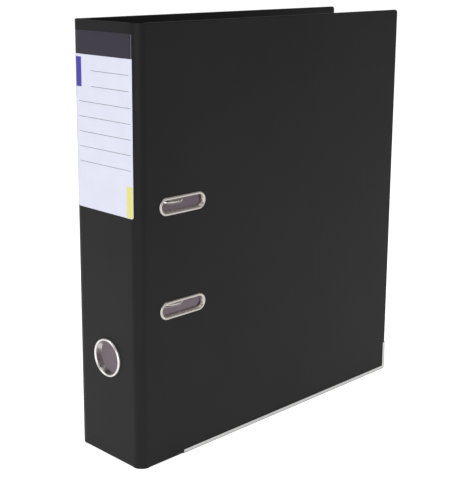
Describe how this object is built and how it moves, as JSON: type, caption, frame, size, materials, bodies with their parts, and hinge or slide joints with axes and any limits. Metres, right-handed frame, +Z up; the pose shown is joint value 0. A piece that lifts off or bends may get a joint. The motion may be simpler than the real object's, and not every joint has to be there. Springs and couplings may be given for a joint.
{
  "type": "lever arch file",
  "caption": "Lever arch file: a stiff hinged case with a finger ring, slotted cover and metal edge guards, holding a lever-worked two-arch paper mechanism.",
  "frame": {"origin": "on the floor under the middle of the closed file's bounding box", "axes": "+Z up; the spine faces -Y; the front cover faces +X; the mechanism is on the inside of the back cover at -X"},
  "size_m": [0.0768, 0.3022, 0.335],
  "materials": {
    "film": "satin black film with a fine grain",
    "board": "grey chipboard",
    "lining": "matt pale mauve-grey lining paper",
    "nickel": "bright nickel plate",
    "plate_steel": "satin nickel-plated sheet steel",
    "label": "smooth printed card"
  },
  "bodies": {
    "back_cover": {"back_wrap": "film", "back_board": "board", "back_lining": "lining", "back_edge_guard": "nickel", "base_plate": "plate_steel", "plate_rivets": "nickel", "lower_post": "nickel", "upper_post": "nickel", "lever_pin": "plate_steel"},
    "spine": {"spine_wrap": "film", "spine_board": "board", "spine_lining": "lining", "front_hinge_film": "film", "back_hinge_film": "film", "finger_ring": "nickel", "finger_ring_washer": "nickel", "spine_label": "label"},
    "front_cover": {"front_wrap": "film", "front_board": "board", "front_lining": "lining", "lower_slot_eyelet": "nickel", "upper_slot_eyelet": "nickel", "front_edge_guard": "nickel"},
    "arches": {"arch_wire": "nickel"},
    "lever": {"lever_arm": "plate_steel", "roller_axle": "plate_steel"},
    "roller": {"roller": "nickel"},
    "compressor": {"compressor_bar": "plate_steel"}
  },
  "joints": [
    {"name": "spine_fold", "type": "hinge", "parent": "back_cover", "child": "spine", "pos_m": [-0.03563, -0.14748, 0.1675], "axis": [0, 0, -1], "range_deg": [0, 90]},
    {"name": "front_fold", "type": "hinge", "parent": "spine", "child": "front_cover", "pos_m": [0.03573, -0.14748, 0.1675], "axis": [0, 0, -1], "range_deg": [0, 90]},
    {"name": "lever_turn", "type": "hinge", "parent": "back_cover", "child": "lever", "pos_m": [-0.01987, -0.1059, 0.175], "axis": [0, -1, 0], "range_deg": [0, 70]},
    {"name": "arch_swing", "type": "hinge", "parent": "back_cover", "child": "arches", "pos_m": [-0.03097, -0.1179, 0.161], "axis": [0, 0, -1], "range_deg": [0, 28]},
    {"name": "roller_roll", "type": "hinge", "parent": "lever", "child": "roller", "pos_m": [-0.02482, -0.1059, 0.17005], "axis": [0, 1, 0], "range_deg": [0, 98]},
    {"name": "compressor_slide", "type": "slide", "parent": "back_cover", "child": "compressor", "axis": [1, 0, 0], "range_m": [0, 0.033]}
  ],
  "couplings": [
    {"joint": "arch_swing", "follows": "lever_turn", "ratio": 0.4},
    {"joint": "roller_roll", "follows": "lever_turn", "ratio": 1.4}
  ]
}
